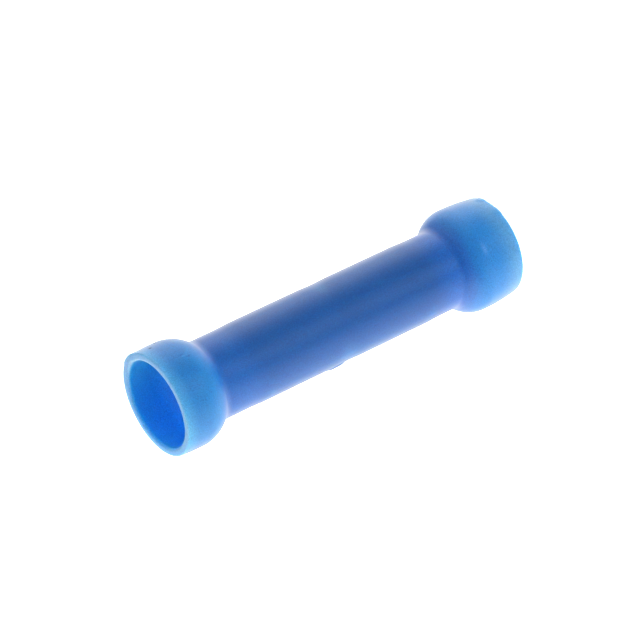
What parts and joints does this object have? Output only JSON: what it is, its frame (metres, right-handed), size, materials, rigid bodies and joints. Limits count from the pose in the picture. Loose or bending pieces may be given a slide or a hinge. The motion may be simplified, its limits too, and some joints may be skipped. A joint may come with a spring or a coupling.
{
  "type": "butt splice connector",
  "caption": "Insulated butt splice connector: a translucent blue plastic sleeve with flared ends around a metal crimp barrel, which joins wires end to end.",
  "frame": {"origin": "middle of the lower bell's rim, on the surface that the connector stands on", "axes": "+Z along the connector's axis, from the lower bell up to the upper one, which is the nearer mouth in the picture; X and Y are free"},
  "size_m": [0.0068, 0.0068, 0.026],
  "materials": {
    "sleeve_vinyl": "satin, slightly translucent blue vinyl",
    "barrel_metal": "satin tin plate on copper"
  },
  "bodies": {
    "root": {"insulation_sleeve": "sleeve_vinyl", "crimp_barrel": "barrel_metal"}
  },
  "joints": []
}
